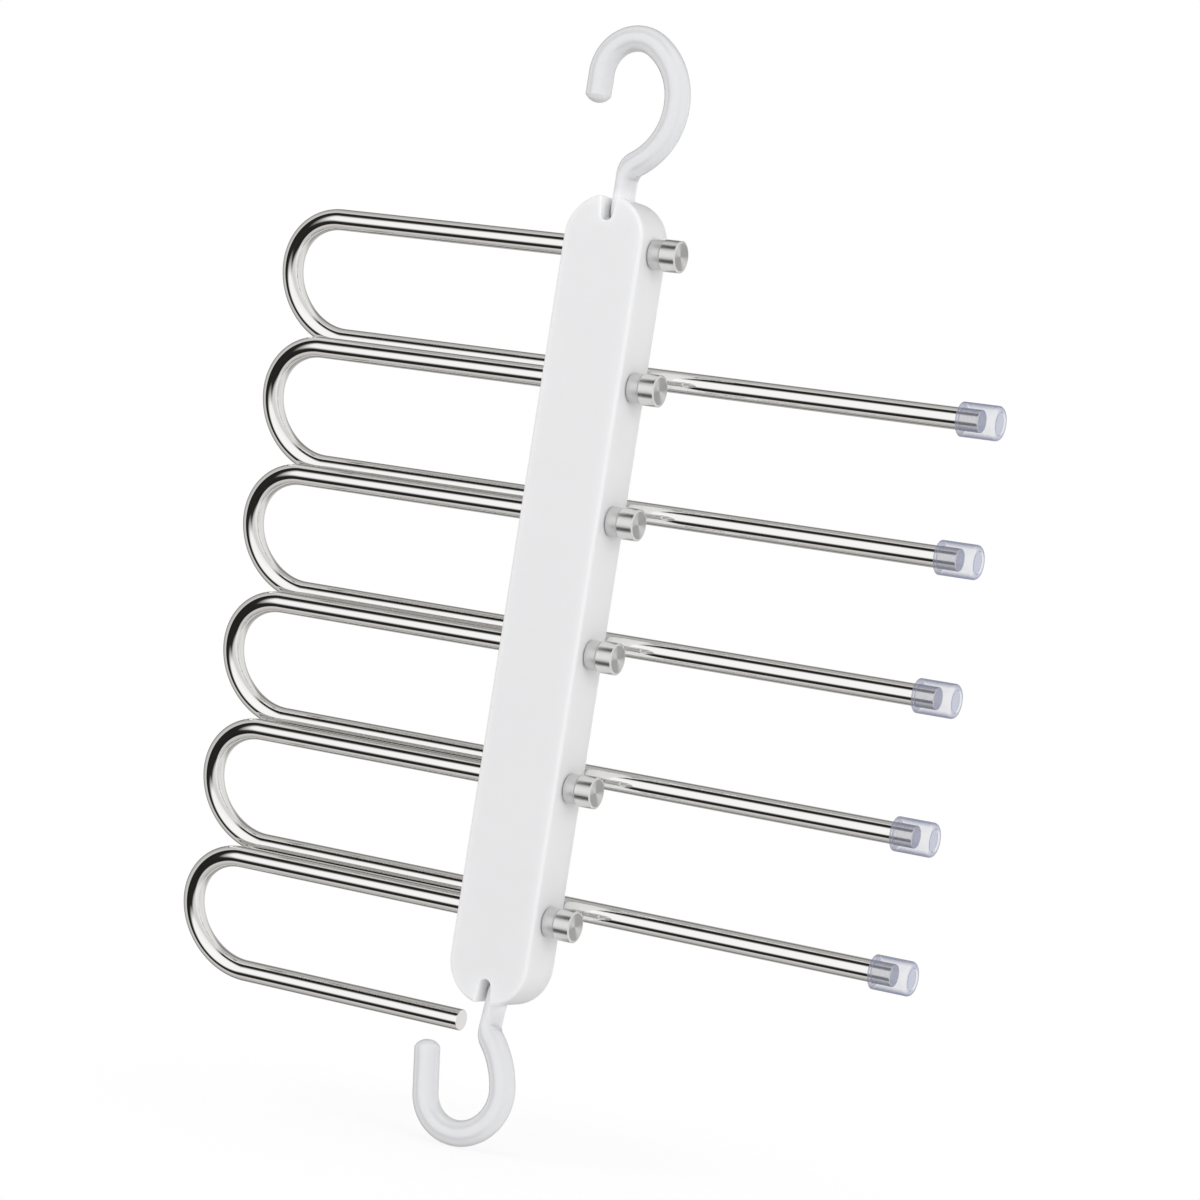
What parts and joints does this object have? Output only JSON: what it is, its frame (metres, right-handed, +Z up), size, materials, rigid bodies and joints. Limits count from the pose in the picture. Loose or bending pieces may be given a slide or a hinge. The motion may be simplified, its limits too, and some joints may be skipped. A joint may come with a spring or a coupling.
{
  "type": "swing-arm trouser hanger",
  "caption": "Wardrobe hanger with U-shaped steel arms that swing back from a white plastic spine with a folding hook at each end.",
  "frame": {"origin": "the point inside the upper hook's arch where a wardrobe rod bears, in line with the spine", "axes": "+Z up along the spine, +X towards the open ends of the arms, -Y out of the spine's front face"},
  "size_m": [0.336, 0.0391, 0.4641],
  "materials": {
    "spine_plastic": "satin white moulded plastic",
    "hook_plastic": "semi-gloss white moulded plastic",
    "polished_steel": "mirror-polished stainless tube",
    "turned_steel": "turned steel with a spun end face",
    "pearl_nylon": "pearly light grey nylon",
    "collar_acetal": "natural acetal",
    "clear_vinyl": "clear soft vinyl with a faint lilac tint",
    "zinc_steel": "zinc-plated steel"
  },
  "bodies": {
    "spine": {"front_shell": "spine_plastic", "rear_cover": "spine_plastic", "cover_screw_1": "zinc_steel", "cover_screw_2": "zinc_steel", "cover_screw_3": "zinc_steel", "cover_screw_4": "zinc_steel", "top_hook_pin": "zinc_steel", "bottom_hook_pin": "zinc_steel"},
    "upper_hook": {"top_hook": "hook_plastic"},
    "lower_hook": {"bottom_hook": "hook_plastic"},
    "arm_1": {"swing_arm_1": "polished_steel", "pivot_knob_1": "turned_steel", "knob_spacer_1": "pearl_nylon", "pivot_collar_1": "collar_acetal", "end_cap_1": "clear_vinyl"},
    "arm_2": {"swing_arm_2": "polished_steel", "pivot_knob_2": "turned_steel", "knob_spacer_2": "pearl_nylon", "pivot_collar_2": "collar_acetal", "end_cap_2": "clear_vinyl"},
    "arm_3": {"swing_arm_3": "polished_steel", "pivot_knob_3": "turned_steel", "knob_spacer_3": "pearl_nylon", "pivot_collar_3": "collar_acetal", "end_cap_3": "clear_vinyl"},
    "arm_4": {"swing_arm_4": "polished_steel", "pivot_knob_4": "turned_steel", "knob_spacer_4": "pearl_nylon", "pivot_collar_4": "collar_acetal", "end_cap_4": "clear_vinyl"},
    "arm_5": {"swing_arm_5": "polished_steel", "pivot_knob_5": "turned_steel", "knob_spacer_5": "pearl_nylon", "pivot_collar_5": "collar_acetal", "end_cap_5": "clear_vinyl"},
    "arm_6": {"swing_arm_6": "polished_steel", "pivot_knob_6": "turned_steel", "knob_spacer_6": "pearl_nylon", "pivot_collar_6": "collar_acetal"}
  },
  "joints": [
    {"name": "upper_hook_fold", "type": "hinge", "parent": "spine", "child": "upper_hook", "pos_m": [0, 0, -0.06507], "axis": [1, 0, 0], "range_deg": [0, 90]},
    {"name": "lower_hook_fold", "type": "hinge", "parent": "spine", "child": "lower_hook", "pos_m": [0, 0, -0.38917], "axis": [-1, 0, 0], "range_deg": [-10, 80]},
    {"name": "arm_1_swing", "type": "hinge", "parent": "spine", "child": "arm_1", "pos_m": [0, 0, -0.08137], "axis": [1, 0, 0], "range_deg": [0, 90]},
    {"name": "arm_2_swing", "type": "hinge", "parent": "spine", "child": "arm_2", "pos_m": [0, 0, -0.13637], "axis": [1, 0, 0], "range_deg": [0, 90]},
    {"name": "arm_3_swing", "type": "hinge", "parent": "spine", "child": "arm_3", "pos_m": [0, 0, -0.19137], "axis": [1, 0, 0], "range_deg": [0, 90]},
    {"name": "arm_4_swing", "type": "hinge", "parent": "spine", "child": "arm_4", "pos_m": [0, 0, -0.24637], "axis": [1, 0, 0], "range_deg": [0, 90]},
    {"name": "arm_5_swing", "type": "hinge", "parent": "spine", "child": "arm_5", "pos_m": [0, 0, -0.30137], "axis": [1, 0, 0], "range_deg": [0, 90]},
    {"name": "arm_6_swing", "type": "hinge", "parent": "spine", "child": "arm_6", "pos_m": [0, 0, -0.35637], "axis": [1, 0, 0], "range_deg": [0, 90]}
  ]
}
